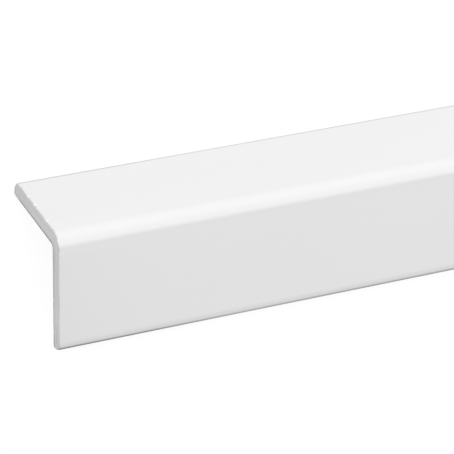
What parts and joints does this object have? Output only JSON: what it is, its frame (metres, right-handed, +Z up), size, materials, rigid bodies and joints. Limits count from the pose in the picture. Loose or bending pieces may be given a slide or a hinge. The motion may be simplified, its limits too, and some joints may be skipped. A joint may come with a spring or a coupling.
{
  "type": "corner guard moulding",
  "caption": "Equal-leg plastic angle with a rounded outer corner and rounded leg edges, fixed over an outside wall corner to protect it.",
  "frame": {"origin": "on the floor, under the middle of the stock", "axes": "+X along the stock, +Z up through the outer corner; the legs slope down to +Y and -Y"},
  "size_m": [1.2192, 0.0378, 0.0214],
  "materials": {
    "white_pvc": "satin"
  },
  "bodies": {
    "root": {"corner_guard": "white_pvc"}
  },
  "joints": []
}
